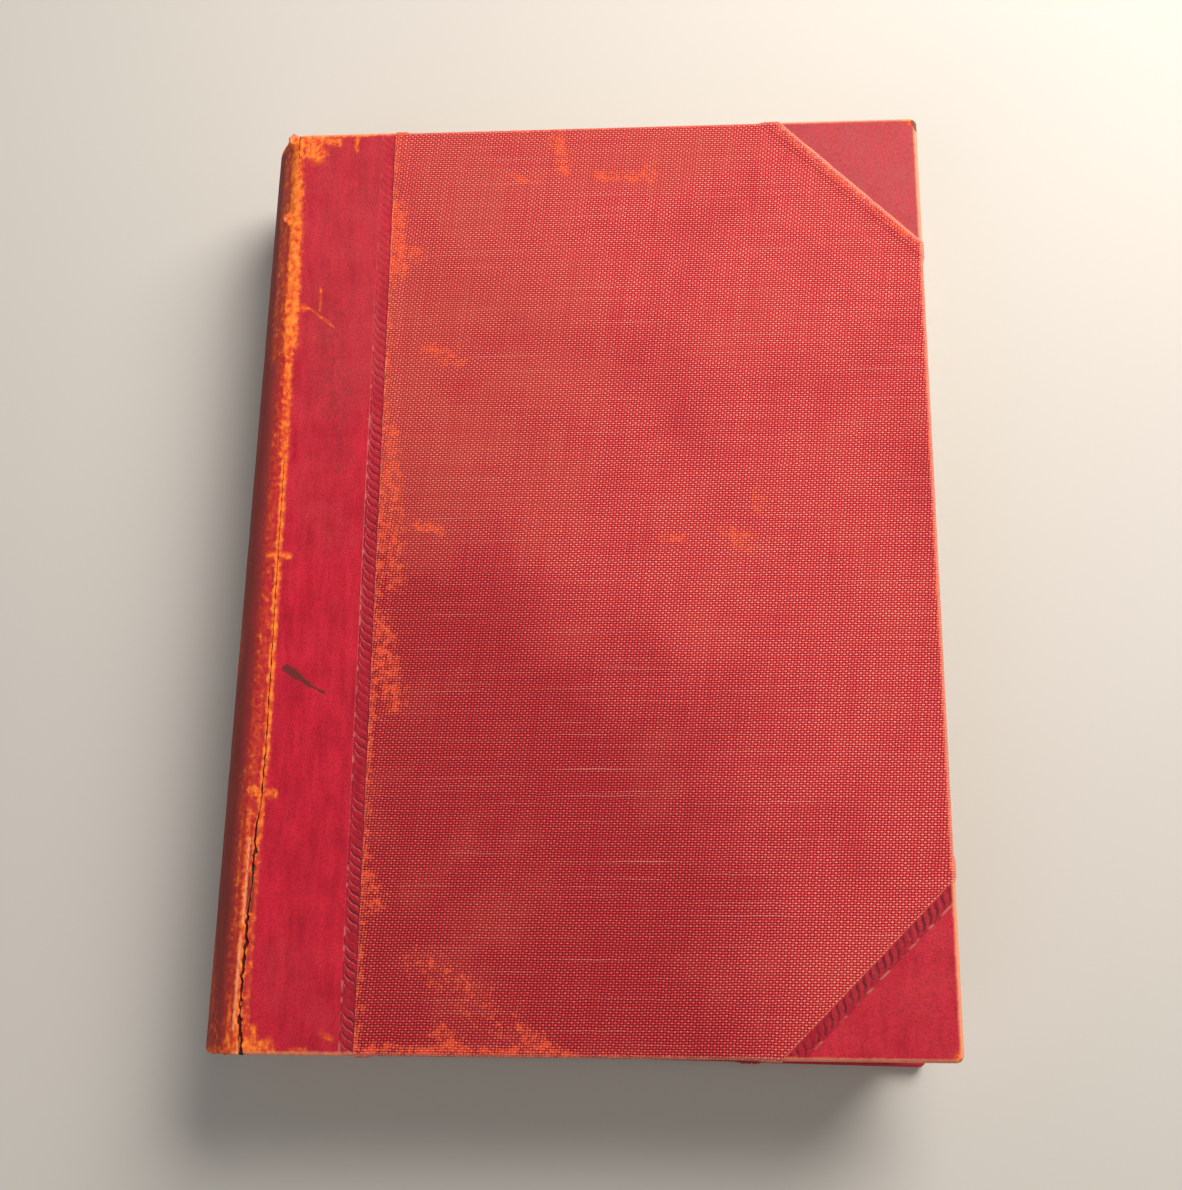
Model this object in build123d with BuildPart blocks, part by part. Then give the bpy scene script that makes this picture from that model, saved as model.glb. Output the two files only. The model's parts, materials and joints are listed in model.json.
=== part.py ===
from build123d import *
import os
from math import cos, radians, sin, sqrt

# A half-leather book that lies closed on its rear cover. Millimetres.
# X runs from the spine to the fore-edge, Y from the tail to the head, Z up from the rear cover.
# The origin is at the middle of the bottom of the whole book.

# Boards
board_width = 162.2  # from the joint to the fore-edge
board_height = 234.2
board_thickness = 2.3
board_tip_radius = 1.5  # the worn tips at the fore-edge
book_thickness = 36.0  # over both covers, closed
front_twist = 0.9  # degrees that the strained front cover has turned in its plane

# Covering on the boards
leather_thickness = 0.4  # pared thin where it lies on the boards
cloth_thickness = 0.35
strip_width = 26.0  # bare leather beside each joint
head_corner_leg = 35.0  # bare leather along the edges at the head corners
tail_corner_leg = 39.5
cloth_overlap = 3.0  # cloth that laps onto the leather
turn_in = 15.0  # covering turned in over the edges of the boards
pastedown_thickness = 0.15
pastedown_margin = 3.0  # bare turn-in round the pastedown

# Spine
spine_round = 9.0  # how far the spine stands out beyond the joints
spine_leather_thickness = 0.8
spine_hollow = 2.2  # at the middle, from the inside of the leather to the back of the leaves
shoulder_clearance = 0.4  # between the leather and the shoulders of the leaves
stiffener_thickness = 0.4
headcap_turn_in = 12.0
headcap_thickness = 0.4  # the pared leather that is turned in at head and tail
lining_thickness = 0.3
lining_margin = 2.0  # bare back of the leaves beyond the lining at head and tail
spine_side_margin = 6.5  # from a side of the spine to the edges of the strips inside it
layer_gap = 0.05  # between layers inside the spine

# Leaves
square = 3.0  # how far the boards stand out beyond the leaves
fore_edge_hollow = 4.5  # depth of the concave fore-edge
endband_depth = 1.8
endband_height = 2.2
endband_margin = 1.0  # from the sides of the leaves to the ends of an endband
endband_rounding = 0.6

# Running clearances
joint_gap = 0.3  # from the joint line to the spine edge of a cover
leaf_clearance = 0.15  # between a pastedown and the leaves

# Levels and lengths that follow
middle_z = book_thickness / 2
covering = leather_thickness + cloth_thickness
board_level = book_thickness - covering - board_thickness  # inner face of the front board
leaves_half = board_level - covering - pastedown_thickness - leaf_clearance - middle_z
leaves_length = board_height - 2 * square
leaves_width = board_width - square
spine_length = board_height + 2 * leather_thickness
spine_half = middle_z - cloth_thickness
strip_half = spine_half - spine_side_margin
zone_margin = 2 * covering  # how far a cutting block reaches beyond a cover

# The joint lies where it centres the whole book on the origin.
twist = radians(front_twist)
joint_x = (spine_round - board_width * cos(twist) - board_height * sin(twist)) / 2
middle_y = -board_width * sin(twist) / 2
half_joint = board_height / 2

# Each cover is laid out on the inner face of its board: local X leaves the joint, local Z faces out.
# The front cover has turned about the head end of its joint.
front_plane = Plane(
    origin=(joint_x + half_joint * sin(twist), middle_y + half_joint * (1 - cos(twist)), board_level),
    x_dir=(cos(twist), sin(twist), 0),
    z_dir=(0, 0, 1),
)
rear_plane = Plane(
    origin=(joint_x, middle_y, book_thickness - board_level),
    x_dir=(1, 0, 0),
    z_dir=(0, 0, -1),
)
# The spine's section: local X from the joints to the fore-edge, local Y up, local Z towards the tail.
back_plane = Plane(origin=(joint_x, middle_y, middle_z), x_dir=(1, 0, 0), z_dir=(0, -1, 0))


def save(piece, name):
    piece.label = name
    export_step(piece, f"parts/{name}.step")


def grown_board(plane, growth):
    """The board with both faces and its three free edges moved out by growth."""
    width = board_width + growth - joint_gap
    with BuildPart() as blank:
        with BuildSketch(plane.offset(-growth)):
            with Locations((joint_gap + width / 2, 0)):
                Rectangle(width, board_height + 2 * growth)
            fillet(vertices().group_by(Axis.X)[-1], board_tip_radius + growth)
        extrude(amount=board_thickness + 2 * growth)
    return blank.part


def board_inset(plane, inset, depth):
    """A block on the inner face of the board, short of its three free edges by inset."""
    width = board_width - inset - joint_gap
    with BuildPart() as block:
        with BuildSketch(plane):
            with Locations((joint_gap + width / 2, 0)):
                Rectangle(width, board_height - 2 * inset)
        extrude(amount=-depth)
    return block.part


def strip_zone(plane, width):
    """A block through the cover from the joint to width."""
    with BuildPart() as zone:
        with BuildSketch(plane.offset(-zone_margin)):
            with Locations((width / 2, 0)):
                Rectangle(width, board_height + 2 * zone_margin)
        extrude(amount=board_thickness + 2 * zone_margin)
    return zone.part


def corner_zone(plane, end, leg):
    """A three-sided block through the cover at the fore-edge corner on side end, 1 or -1, of local Y."""
    tip_x = board_width + zone_margin
    tip_y = end * (board_height / 2 + zone_margin)
    reach = leg + 2 * zone_margin
    with BuildPart() as zone:
        with BuildSketch(plane.offset(-zone_margin)):
            with BuildLine():
                Polyline((tip_x, tip_y), (tip_x - reach, tip_y), (tip_x, tip_y - end * reach), close=True)
            make_face()
        extrude(amount=board_thickness + 2 * zone_margin)
    return zone.part


def leather_zones(plane, head_end, margin):
    """Blocks over the joint strip and both corners, each reaching margin under the cloth."""
    slant = margin * sqrt(2)
    return {
        "leather_strip": strip_zone(plane, strip_width + margin),
        "head_corner": corner_zone(plane, head_end, head_corner_leg + slant),
        "tail_corner": corner_zone(plane, -head_end, tail_corner_leg + slant),
    }


def board_leather(plane, zone):
    """Leather wrapped over the faces and edges of the board in one zone, and turned in."""
    with BuildPart() as leather:
        add(grown_board(plane, leather_thickness))
        add(zone, mode=Mode.INTERSECT)
        add(grown_board(plane, 0), mode=Mode.SUBTRACT)
        add(board_inset(plane, turn_in, leather_thickness), mode=Mode.SUBTRACT)
    return leather.part


def raised_cloth(plane, zone):
    """Cloth over the leather of one zone, as a block that still holds the leather and the board."""
    with BuildPart() as raised:
        add(grown_board(plane, covering))
        add(zone, mode=Mode.INTERSECT)
    return raised.part


def make_cover(side, plane, head_end):
    """The board, three leathers, cloth side and pastedown of one cover."""
    with BuildPart() as board:
        add(grown_board(plane, 0))
    save(board.part, f"{side}_board")

    leathers = []
    for name, zone in leather_zones(plane, head_end, cloth_overlap).items():
        leathers.append(board_leather(plane, zone))
        save(leathers[-1], f"{side}_{name}")

    with BuildPart() as cloth:
        add(grown_board(plane, cloth_thickness))
        for zone in leather_zones(plane, head_end, cloth_overlap + cloth_thickness).values():
            add(raised_cloth(plane, zone))
        for zone in leather_zones(plane, head_end, 0).values():
            add(zone, mode=Mode.SUBTRACT)
        for piece in (board.part, *leathers, board_inset(plane, turn_in, covering)):
            add(piece, mode=Mode.SUBTRACT)
    save(cloth.part, f"{side}_cloth")

    # The sheet lies on the turn-ins, and its middle fills down to the board.
    with BuildPart() as pastedown:
        add(board_inset(plane, pastedown_margin, covering + pastedown_thickness))
        for piece in (*leathers, cloth.part):
            add(piece, mode=Mode.SUBTRACT)
    save(pastedown.part, f"{side}_pastedown")


def circle_through(rise, half):
    """The radius, and how far the centre lies inside the joints, of an arc of this rise and half chord."""
    radius = (half**2 + rise**2) / (2 * rise)
    return radius, radius - rise


def back_outline(rise, half):
    """The outline of the spine side, from joint to joint: an arc closed by its chord."""
    ThreePointArc((0, half), (-rise, 0), (0, -half))
    Line((0, -half), (0, half))


def back_strip(centre_x, outer_radius, thickness, half, length, towards_head=0.0):
    """A curved strip round the back, with its middle moved along the spine by towards_head."""
    with BuildPart() as strip:
        with BuildSketch(back_plane.offset(-towards_head)):
            with Locations((centre_x, 0)):
                Circle(outer_radius)
                Circle(outer_radius - thickness, mode=Mode.SUBTRACT)
            with Locations((centre_x - outer_radius, 0)):
                Rectangle(2 * outer_radius, 2 * half, mode=Mode.INTERSECT)
        extrude(amount=length / 2, both=True)
    return strip.part


os.makedirs("parts", exist_ok=True)

make_cover("front", front_plane, 1)
make_cover("rear", rear_plane, -1)

# The leaves: a rounded back with shoulders, flat sides and a hollow fore-edge.
inner_rise = spine_round - spine_leather_thickness
inner_half = spine_half - spine_leather_thickness
back_rise = inner_rise - spine_hollow
shoulder_half = inner_half - shoulder_clearance
fore_edge_top = (leaves_width, leaves_half)
fore_edge_middle = (leaves_width - fore_edge_hollow, 0)
fore_edge_bottom = (leaves_width, -leaves_half)
with BuildPart() as text_block:
    with BuildSketch(back_plane):
        with BuildLine():
            ThreePointArc((0, shoulder_half), (-back_rise, 0), (0, -shoulder_half))
            Polyline((0, -shoulder_half), (0, -leaves_half), fore_edge_bottom)
            ThreePointArc(fore_edge_bottom, fore_edge_middle, fore_edge_top)
            Polyline(fore_edge_top, (0, leaves_half), (0, shoulder_half))
        make_face()
    extrude(amount=leaves_length / 2, both=True)
save(text_block.part, "text_block")

# What lies inside the spine follows the back of the leaves or the inside of the leather.
back_radius, back_centre = circle_through(back_rise, shoulder_half)
leather_radius, leather_centre = circle_through(inner_rise, inner_half)

lining_length = leaves_length - 2 * lining_margin
with BuildPart() as spine_lining:
    add(back_strip(back_centre, back_radius + lining_thickness, lining_thickness, strip_half, lining_length))
save(spine_lining.part, "spine_lining")

for name, end in (("head_band", 1), ("tail_band", -1)):
    band_y = end * (leaves_length + endband_height) / 2
    with BuildPart() as band:
        band_half = leaves_half - endband_margin
        add(back_strip(back_centre, back_radius, endband_depth, band_half, endband_height, band_y))
        outer_face = band.faces().sort_by(Axis.Y)[-1 if end > 0 else 0]
        fillet(outer_face.edges(), endband_rounding)
    save(band.part, name)

stiffener_radius = leather_radius - layer_gap
stiffener_length = spine_length - 2 * (spine_leather_thickness + layer_gap)
with BuildPart() as spine_stiffener:
    add(back_strip(leather_centre, stiffener_radius, stiffener_thickness, strip_half, stiffener_length))
save(spine_stiffener.part, "spine_stiffener")

# The leather wraps the back from joint to joint, and folds over the stiffener at head and tail.
turned_radius = stiffener_radius - stiffener_thickness - layer_gap
fold_depth = leather_radius - turned_radius + headcap_thickness
fold_length = spine_leather_thickness
turned_length = headcap_turn_in - fold_length
with BuildPart() as spine_leather:
    with BuildSketch(back_plane):
        with BuildLine():
            back_outline(spine_round, spine_half)
        make_face()
        with BuildLine():
            back_outline(inner_rise, inner_half)
        make_face(mode=Mode.SUBTRACT)
    extrude(amount=spine_length / 2, both=True)
    for end in (1, -1):
        fold_y = end * (spine_length - fold_length) / 2
        turned_y = end * (spine_length / 2 - fold_length - turned_length / 2)
        add(back_strip(leather_centre, leather_radius, fold_depth, strip_half, fold_length, fold_y))
        add(back_strip(leather_centre, turned_radius, headcap_thickness, strip_half, turned_length, turned_y))
    # The front cover has drawn away from the shoulder, and a flat lip of the leather follows it.
    lip_width = board_height * sin(twist)
    lip_end = spine_length / 2
    with BuildSketch(Plane((joint_x, middle_y, book_thickness - cloth_thickness))):
        with BuildLine():
            Polyline((0, lip_end), (lip_width, -lip_end), (0, -lip_end), close=True)
        make_face()
    extrude(amount=-spine_leather_thickness)
save(spine_leather.part, "spine_leather")
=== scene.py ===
# %% [markdown]
# # A half-leather book, built piece by piece
# The book lies closed on its rear cover. A half-leather binding has leather on the spine, down the joints
# and on the corners, and cheaper bookcloth on the rest of both boards.
# The CAD model is the frame: it fixes every size and place and how the covers swing. What is made here is
# the skin that a CAD solid leaves plain: worn leather, woven cloth, leaf edges and sewn endbands.

# %% Load the frame
import json
from functools import partial
from math import asin, atan2, cos, pi, radians, sin, sqrt

import bmesh
import bpy
import numpy as np
from mathutils import Euler, Matrix, Vector, noise


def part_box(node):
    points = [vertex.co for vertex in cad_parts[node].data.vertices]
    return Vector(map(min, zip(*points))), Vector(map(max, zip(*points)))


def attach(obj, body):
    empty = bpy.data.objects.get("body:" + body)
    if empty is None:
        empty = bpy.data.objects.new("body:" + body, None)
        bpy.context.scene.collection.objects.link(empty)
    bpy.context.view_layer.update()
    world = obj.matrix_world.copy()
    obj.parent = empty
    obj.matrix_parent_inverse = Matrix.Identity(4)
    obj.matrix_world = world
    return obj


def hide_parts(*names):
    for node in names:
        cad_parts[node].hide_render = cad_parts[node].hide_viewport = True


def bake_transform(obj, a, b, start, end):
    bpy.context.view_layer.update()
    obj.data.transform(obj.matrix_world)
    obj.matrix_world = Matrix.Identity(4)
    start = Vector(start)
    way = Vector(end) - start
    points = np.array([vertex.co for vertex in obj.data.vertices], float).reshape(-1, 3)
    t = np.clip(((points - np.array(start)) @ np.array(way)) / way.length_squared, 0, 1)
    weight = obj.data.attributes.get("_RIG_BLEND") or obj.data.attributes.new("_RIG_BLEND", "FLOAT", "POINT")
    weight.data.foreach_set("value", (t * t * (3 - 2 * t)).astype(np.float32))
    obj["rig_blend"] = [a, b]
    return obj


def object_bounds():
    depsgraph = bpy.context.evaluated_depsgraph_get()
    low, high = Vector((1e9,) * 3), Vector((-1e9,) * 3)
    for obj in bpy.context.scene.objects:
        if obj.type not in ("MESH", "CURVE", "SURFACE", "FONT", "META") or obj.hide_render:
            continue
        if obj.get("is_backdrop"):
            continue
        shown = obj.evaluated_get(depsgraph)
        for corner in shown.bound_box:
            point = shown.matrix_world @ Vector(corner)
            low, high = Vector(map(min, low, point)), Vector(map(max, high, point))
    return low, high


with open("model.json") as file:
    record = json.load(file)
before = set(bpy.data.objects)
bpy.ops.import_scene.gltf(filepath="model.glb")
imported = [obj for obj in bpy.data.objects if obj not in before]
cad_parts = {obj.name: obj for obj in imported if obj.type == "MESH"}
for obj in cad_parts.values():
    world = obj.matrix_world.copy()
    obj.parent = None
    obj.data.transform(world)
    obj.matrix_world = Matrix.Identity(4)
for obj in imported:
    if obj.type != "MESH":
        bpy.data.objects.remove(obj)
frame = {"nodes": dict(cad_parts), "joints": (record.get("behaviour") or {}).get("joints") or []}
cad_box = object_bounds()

# %% [markdown]
# ## Sizes from the frame
# A binder measures a cover from its joint and from its head, so each cover gets its own frame: s runs from
# the joint to the fore-edge, y from the tail to the head, and z from the inner face of the board outwards.
# The front cover has strained at its joint and lies turned by about a degree. The rear cover's frame is a
# mirror image, because its z points down.

# %% Read the sizes
MM = 0.001
joints = {joint["name"]: joint for joint in frame["joints"]}


def box_mm(node):
    return [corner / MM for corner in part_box(node)]


board_low, board_high = box_mm("rear_board")
leaves_low, leaves_high = box_mm("text_block")
spine_low, spine_high = box_mm("spine_leather")
strip_low, strip_high = box_mm("rear_leather_strip")
cloth_low = box_mm("rear_cloth")[0]

rear_joint = Vector(joints["rear_joint"]["pos_m"]) / MM
front_joint = Vector(joints["front_joint"]["pos_m"]) / MM
axis = Vector(joints["front_joint"]["axis"])
twist = atan2(axis.x, -axis.y)
book_top = cad_box[1].z / MM

board_width = board_high.x - rear_joint.x
board_height = board_high.y - board_low.y
board_thickness = board_high.z - board_low.z
half_height = board_height / 2
leather_thickness = board_low.z - strip_low.z
cloth_thickness = strip_low.z - cloth_low.z
cloth_overlap = 3.0
strip_width = strip_high.x - rear_joint.x - cloth_overlap
leather_top = board_thickness + leather_thickness
print("board", round(board_width, 1), "x", round(board_height, 1), "x", round(board_thickness, 1), "mm")
print("leather", round(leather_thickness, 2), "cloth", round(cloth_thickness, 2), "strip", strip_width)

# %% Frames of the two covers
to_metres = Matrix.Scale(MM, 4)
front_place = Matrix.Translation((front_joint.x, front_joint.y, book_top - board_high.z))
front_frame = front_place @ Matrix.Rotation(twist, 4, "Z")
rear_frame = Matrix.Translation((rear_joint.x, rear_joint.y, board_high.z)) @ Matrix.Scale(-1, 4, (0, 0, 1))
covers = {"front": front_frame, "rear": rear_frame}
# The corners' diagonals, as the bare leather's leg along each edge of the board.
corner_legs = {1: 35.0, -1: 39.5}
print("front cover turned", round(twist * 180 / pi, 2), "degrees")

# %% [markdown]
# ## Colours and nodes
# Colours are picked as sRGB hex values, as on a screen, but the shader works in linear light, so one
# function converts them. A shader is mostly arithmetic on noise, so a node's output is kept as a Value:
# adding or multiplying two of them adds the node that does it, and a formula reads as one.

# %% Colour and node helpers


def hex_colour(code):
    """An sRGB hex colour as linear red, green, blue and alpha."""
    parts = [int(code[i : i + 2], 16) / 255 for i in (1, 3, 5)]
    return (*[p / 12.92 if p <= 0.04045 else ((p + 0.055) / 1.055) ** 2.4 for p in parts], 1.0)


class Value:
    """One output of a node. Arithmetic on it adds nodes to the same material."""

    def __init__(self, socket):
        self.socket, self.tree = socket, socket.id_data

    def __add__(self, other):
        return maths("ADD", self, other)

    def __sub__(self, other):
        return maths("SUBTRACT", self, other)

    def __rsub__(self, other):
        return maths("SUBTRACT", other, self)

    def __mul__(self, other):
        return maths("MULTIPLY", self, other)

    def __abs__(self):
        return maths("ABSOLUTE", self)

    def __getitem__(self, part):
        return add_node(self.tree, "SeparateXYZ", {0: self}, output=part)


def add_node(tree, kind, inputs=None, output=0, **settings):
    """Adds a node, sets its settings, fills or links its inputs, and returns one of its outputs."""
    made = tree.nodes.new("ShaderNode" + kind)
    for key, value in settings.items():
        setattr(made, key, value)
    for key, value in (inputs or {}).items():
        if isinstance(value, Value):
            tree.links.new(value.socket, made.inputs[key])
        else:
            made.inputs[key].default_value = value
    return Value(made.outputs[output]) if made.outputs else None


def maths(operation, *values, **settings):
    """Arithmetic on values and numbers, or on vectors where one of them is a tuple."""
    tree = next(value.tree for value in values if isinstance(value, Value))
    kind = "VectorMath" if isinstance(values[-1], tuple) else "Math"
    return add_node(tree, kind, dict(enumerate(values)), operation=operation, **settings)


def ramp(value, low=0.0, high=1.0, start=0.0, end=1.0):
    """Runs from start to end while value goes from low to high, and stays level beyond them."""
    limits = {"Value": value, "From Min": low, "From Max": high, "To Min": start, "To Max": end}
    return add_node(value.tree, "MapRange", limits)


def fractal(place, scale, detail, roughness=0.5):
    """Cloudy noise with scale features to the millimetre."""
    return add_node(place.tree, "TexNoise",
                    {"Vector": place, "Scale": scale, "Detail": detail, "Roughness": roughness})


def mix(factor, first, second):
    """Goes from the first colour to the second, each a hex code or a value."""
    pair = [hex_colour(c) if isinstance(c, str) else c for c in (first, second)]
    return add_node(factor.tree, "Mix", {0: factor, 6: pair[0], 7: pair[1]}, output=2, data_type="RGBA")


def stored(put, name, output="Fac"):
    """A number or vector that is kept on the mesh's points."""
    return put("Attribute", output=output, attribute_name=name)


def object_mm(put):
    """The place in the piece's own axes, in millimetres."""
    return put("TexCoord", output="Object") * ((1 / MM,) * 3)


def new_material(name):
    """An empty material, and a short way to put nodes in it."""
    material = bpy.data.materials.new(name)
    material.use_nodes = True
    material.node_tree.nodes.clear()
    return material, partial(add_node, material.node_tree)


def finish_material(put, colour, roughness, height, bump_mm, **levels):
    """Joins colour, roughness and bump to the one shader. The bump's height is in millimetres."""
    normal = put("Bump", {"Height": height, "Distance": bump_mm * MM, "Strength": 1.0})
    settings = {"Base Color": colour, "Roughness": roughness, "Normal": normal}
    settings.update({key.replace("_", " "): value for key, value in levels.items()})
    put("OutputMaterial", {"Surface": put("BsdfPrincipled", settings)})


# %% [markdown]
# ## Wear, as a worn place on the skin
# Rubbing takes the dye off in strokes and patches. Each is written down as a stroke from one place to
# another on the cover, with a radius, both in millimetres from the joint and from the head. The amount is
# kept on the mesh's points, and the shader breaks its edge up with noise, so the place stays ragged.

# %% Strokes of wear


def stroke_amount(flat, strokes):
    """How much each flat point is covered by strokes of (s, t, s, t, radius, strength)."""
    amount = np.zeros(len(flat))
    for s0, t0, s1, t1, radius, strength in strokes:
        start, along = np.array((s0, t0)), np.array((s1 - s0, t1 - t0))
        offset = flat - start
        share = np.clip(offset @ along / max(along @ along, 1e-9), 0, 1)
        distance = np.linalg.norm(offset - share[:, None] * along, axis=1)
        fade = np.clip((1.5 * radius - distance) / radius, 0, 1)
        amount = np.maximum(amount, strength * fade)
    return amount


def set_wear(mesh, **layers):
    """Stores how rubbed and stained each point of a skin is, how pale its polished edges and painted
    highlights are, and how much colour it has lost, partly as painted sheen.
    """
    flat = np.zeros(len(mesh.vertices) * 3, np.float32)
    mesh.attributes["flat_mm"].data.foreach_get("vector", flat)
    for name in ("rubbed", "stained", "handled", "faded"):
        amount = stroke_amount(flat.reshape(-1, 3)[:, :2], layers.get(name, []))
        mesh.attributes.new(name, "FLOAT", "POINT").data.foreach_set("value", amount.astype(np.float32))


# %% Making an object of a mesh
SMOOTH_ANGLE = radians(42)


def make_piece(name, bm, material, place=to_metres):
    """Moves a mesh in millimetres to its place, closes it into an object and gives it its finish."""
    bm.transform(place)
    bmesh.ops.recalc_face_normals(bm, faces=bm.faces)
    mesh = bpy.data.meshes.new(name)
    for face in bm.faces:
        face.smooth = True
    open_edges = sum(not edge.is_manifold for edge in bm.edges)
    bm.to_mesh(mesh)
    bm.free()
    mesh.set_sharp_from_angle(angle=SMOOTH_ANGLE)
    mesh.materials.append(material)
    piece = bpy.data.objects.new(name, mesh)
    bpy.context.scene.collection.objects.link(piece)
    triangles = sum(len(p.vertices) - 2 for p in mesh.polygons)
    print(name, "triangles", triangles, "open edges", open_edges)
    return piece


def join_rings(bm, rings):
    """Makes a closed body of rings of points, with a flat face at either end."""
    for low, high in zip(rings, rings[1:]):
        for k in range(len(low)):
            n = (k + 1) % len(low)
            bm.faces.new((low[k], low[n], high[n], high[k]))
    bm.faces.new(rings[0])
    bm.faces.new(rings[-1])


# %% [markdown]
# ## Leather: vegetable-tanned calf or roan, dyed crimson
# The skin is dyed only near its surface and glazed, so it is smooth and half glossy with a fine grain.
# Where it flexes or rubs, the glaze and dye go first and the dry fibres below show orange to tan and matt.
# A warm roll pressed along the edge of the bare leather leaves a rope of slanted strokes and a fine line.

# %% Sizes of the leather's surface
GRAIN_MM = 0.45
MOTTLE_MM = 9.0
ROLL_PITCH = 2.15  # from one stroke of the rope to the next
ROLL_WIDTH = 3.0
ROLL_GAP = 0.2  # from the roll's edge to the cloth
ROLL_FADE = 0.4  # over which the roll's edges press less and less
STROKE_RISE = (0.1, 0.75)  # the part of a cosine over which a stroke goes from unpressed to pressed
ROLL_LEAN = 1.4  # strokes that the slant covers
ROLL_BEND = 0.13  # how far each stroke curls, as a share of the pitch
SPECK_MM = 0.5
SPECK_SCALE = 0.12  # specks to the millimetre, along each axis


def leather_material(name, seed):
    """Glazed crimson leather with its rubbed places, stains and tooled rope."""
    material, put = new_material(name)
    flat = stored(put, "flat_mm", "Vector")
    place = flat + (0, 0, 37.0 * seed)
    grain = fractal(place, 1 / GRAIN_MM, 3.0, 0.6)
    mottle = fractal(place, 1 / MOTTLE_MM, 5.0, 0.62)
    # Glazing and handling streak the skin along the spine.
    streak = fractal(place * (1.0, 0.16, 1.0), 0.55, 4.0, 0.6)
    colour = mix(ramp(mottle + streak, 0.75, 1.25), "#AD1029", "#CC1834")
    # Daylight has browned the leather of the spine, which stood outwards on the shelf. The darker brown is
    # also painted shade on the side of the spine that turns away from the key lamp.
    sunned_and_shaded = ramp(flat[0], -1.0, -8.0, end=0.82)
    colour = mix(sunned_and_shaded, colour, mix(streak, "#4C160E", "#94361F"))
    # Light and hands have taken the red out in places, and near the head of the front cover this paler,
    # duller red is partly painted sheen.
    fade = ramp(mottle * 0.9 + stored(put, "faded"), 0.6, 1.5, end=0.8)
    colour = mix(fade, colour, "#9C3636")
    # The fine grain holds a little more dye in its hollows.
    colour = mix(ramp(grain, 0.33, 0.55, 0.5, 0.0), colour, "#6E0B1A")

    # The rope: a slanted, curling cosine within the roll's width.
    roll = stored(put, "roll_mm", "Vector")
    run, across, firmness = (roll[i] for i in range(3))
    turns = run * (1 / ROLL_PITCH) + across * (ROLL_LEAN / ROLL_WIDTH)
    turns = maths("SINE", across * (2 * pi / ROLL_WIDTH)) * ROLL_BEND + turns
    stroke = ramp(maths("COSINE", turns * (2 * pi)), *STROKE_RISE)
    inside = ramp(abs(across - (ROLL_WIDTH / 2 + ROLL_GAP)), ROLL_WIDTH / 2, ROLL_WIDTH / 2 - ROLL_FADE)
    pressed = stroke * inside * ramp(mottle, 0.4, 0.58, 0.2)
    # A fillet line runs just inside the rope, and its raised edge has a painted highlight in dashes.
    dash_highlight = fractal(place * (0.05, 0.35, 1.0), 1.0, 3.0)
    line = ramp(abs(across - (ROLL_WIDTH + 0.35)), 0.3, 0.12)
    colour = mix(ramp(dash_highlight, 0.5, 0.6, end=0.8) * line * firmness, colour, "#F08A7C")
    pressed = maths("MAXIMUM", pressed, line * 0.6) * firmness
    # The whole band is polished darker by the hot roll.
    band = maths("MULTIPLY_ADD", pressed, 0.8, inside * firmness * 0.3, use_clamp=True)
    colour = mix(band, colour, "#680A19")

    # Rubbed places: the stored amount, its edge broken up by noise. The fibres below run along the skin.
    coarse = fractal(place, 0.75, 5.0, 0.6)
    edge = coarse * 1.5 + stored(put, "rubbed")
    worn = ramp(edge, 1.13, 1.5)
    colour = mix(ramp(edge, 0.9, 1.35, end=0.6), colour, "#B23A22")
    fibre = fractal(place * (1.0, 0.6, 1.0), 0.7, 4.0, 0.55)
    through = maths("ADD", ramp(edge, 1.3, 2.0), ramp(fibre, 0.34, 0.66, -0.4, 0.4), use_clamp=True)
    colour = mix(worn, colour, mix(through, "#CC381A", "#FF8C30"))
    # Edges that hands have polished, also painted as highlight on the board's edges and on lifted tufts and
    # flakes, damp stains, and splits where the dark inside shows.
    colour = mix(ramp(coarse * 0.5 + stored(put, "handled"), 0.45, 1.15, end=0.8), colour, "#F2A47A")
    stain = ramp(coarse * 0.6 + stored(put, "stained"), 0.7, 1.1, end=0.8)
    colour = mix(stain, colour, "#4E1C16")
    colour = mix(ramp(stored(put, "split"), 0.25, 0.7), colour, "#521B0E")
    # A few pale specks of dust and flaked size.
    cell = {"Vector": place, "Scale": SPECK_SCALE}
    near = ramp(put("TexVoronoi", cell), SPECK_MM * SPECK_SCALE / 2, SPECK_MM * SPECK_SCALE / 4)
    chosen = maths("GREATER_THAN", put("TexVoronoi", cell, output="Color")[0], 0.72)
    colour = mix(near * chosen, colour, "#D9A08C")

    matt = worn
    for dull in (stain, sunned_and_shaded, fade):
        matt = maths("MAXIMUM", matt, dull)
    roughness = put("Mix", {0: matt, 2: ramp(streak, 0.3, 0.7, 0.36, 0.5), 3: 0.82})
    height = pressed * -0.9 + (worn * fibre * 0.9 + grain * 0.5)
    finish_material(put, colour, roughness, height, 0.14, IOR=1.5, Specular_IOR_Level=0.35)
    return material


spine_finish = leather_material("crimson_leather_spine", 1)
corner_finish = leather_material("crimson_leather_corners", 2)
rear_finish = leather_material("crimson_leather_rear", 3)

# %% [markdown]
# ## Bookcloth: starched plain-woven cotton, dyed red
# Warp and weft pass over and under each other by turns. The dye sits deep between the threads and has
# rubbed off their tops, and the tops are also painted pale as highlight and the gaps dark as shade, so from
# near the cloth is a pink check on dark red, and from far a dusty rose.
# The threads are about 0.6 and 0.7 mm apart, and the pattern keeps that real spacing.

# %% Sizes of the weave
WARP_MM = 0.71
WEFT_MM = 0.58
WARP_LEAN = 0.10
SLUB_MM = 34.0  # length of a thick place in a thread
CLOTH_MOTTLE_MM = 22.0


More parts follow.
